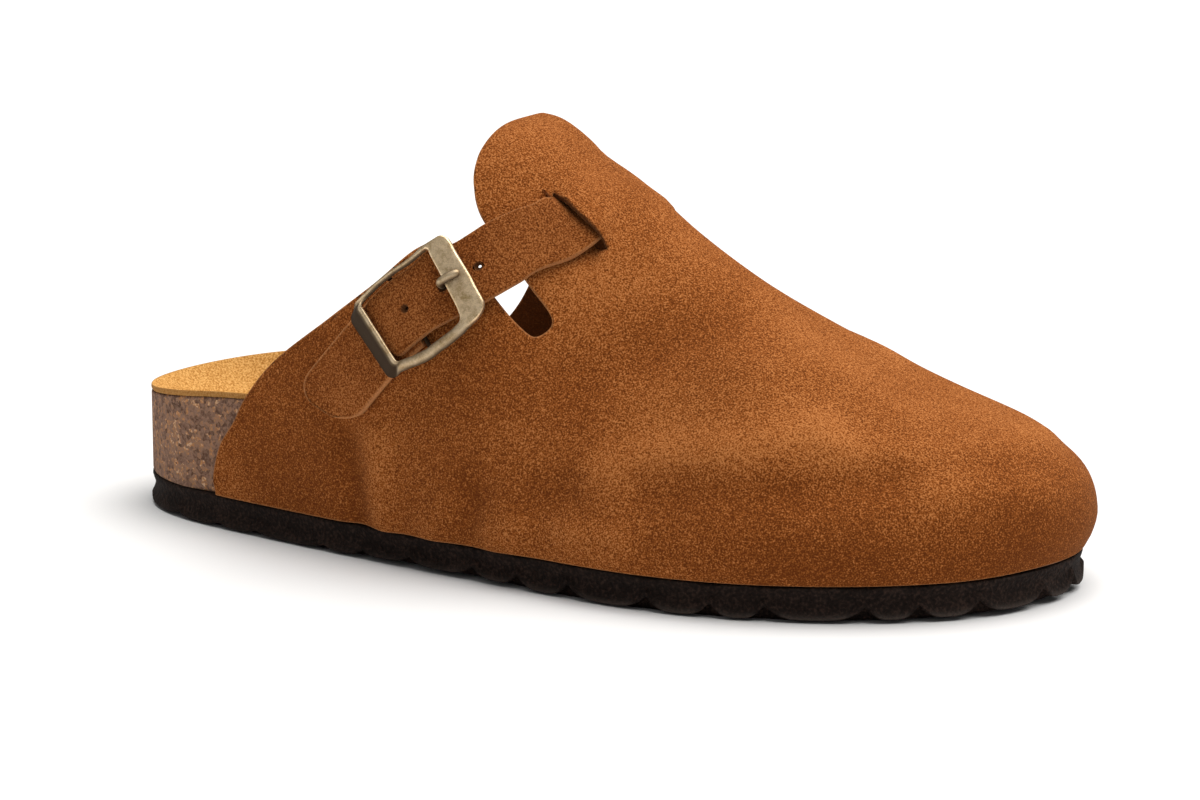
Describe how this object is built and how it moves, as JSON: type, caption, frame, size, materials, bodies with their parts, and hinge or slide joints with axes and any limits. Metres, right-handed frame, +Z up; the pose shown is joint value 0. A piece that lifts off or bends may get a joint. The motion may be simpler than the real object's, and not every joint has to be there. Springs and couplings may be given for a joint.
{
  "type": "clog",
  "caption": "Closed-toe backless suede clog with moulded cork footbed, thin lugged sole and a buckled strap threaded through slits in the tongue.",
  "frame": {"origin": "centre of the bounding box's footprint, on the floor the sole stands on", "axes": "+X along the shoe towards the toe, +Y towards the inner (medial) side, +Z up"},
  "size_m": [0.277, 0.1088, 0.1148],
  "materials": {
    "outsole": "matt black moulded sole",
    "footbed": "granulated cork, unsealed",
    "insole": "tan suede",
    "upper": "brown suede",
    "strap": "brown suede",
    "buckle_tab": "brown suede",
    "buckle_frame": "antique satin",
    "buckle_prong": "antique satin",
    "rivet": "satin"
  },
  "bodies": {
    "root": {"outsole": "outsole", "footbed": "footbed", "insole": "insole", "upper": "upper", "strap": "strap", "buckle_tab": "buckle_tab", "buckle_frame": "buckle_frame", "buckle_prong": "buckle_prong", "rivet": "rivet"}
  },
  "joints": []
}
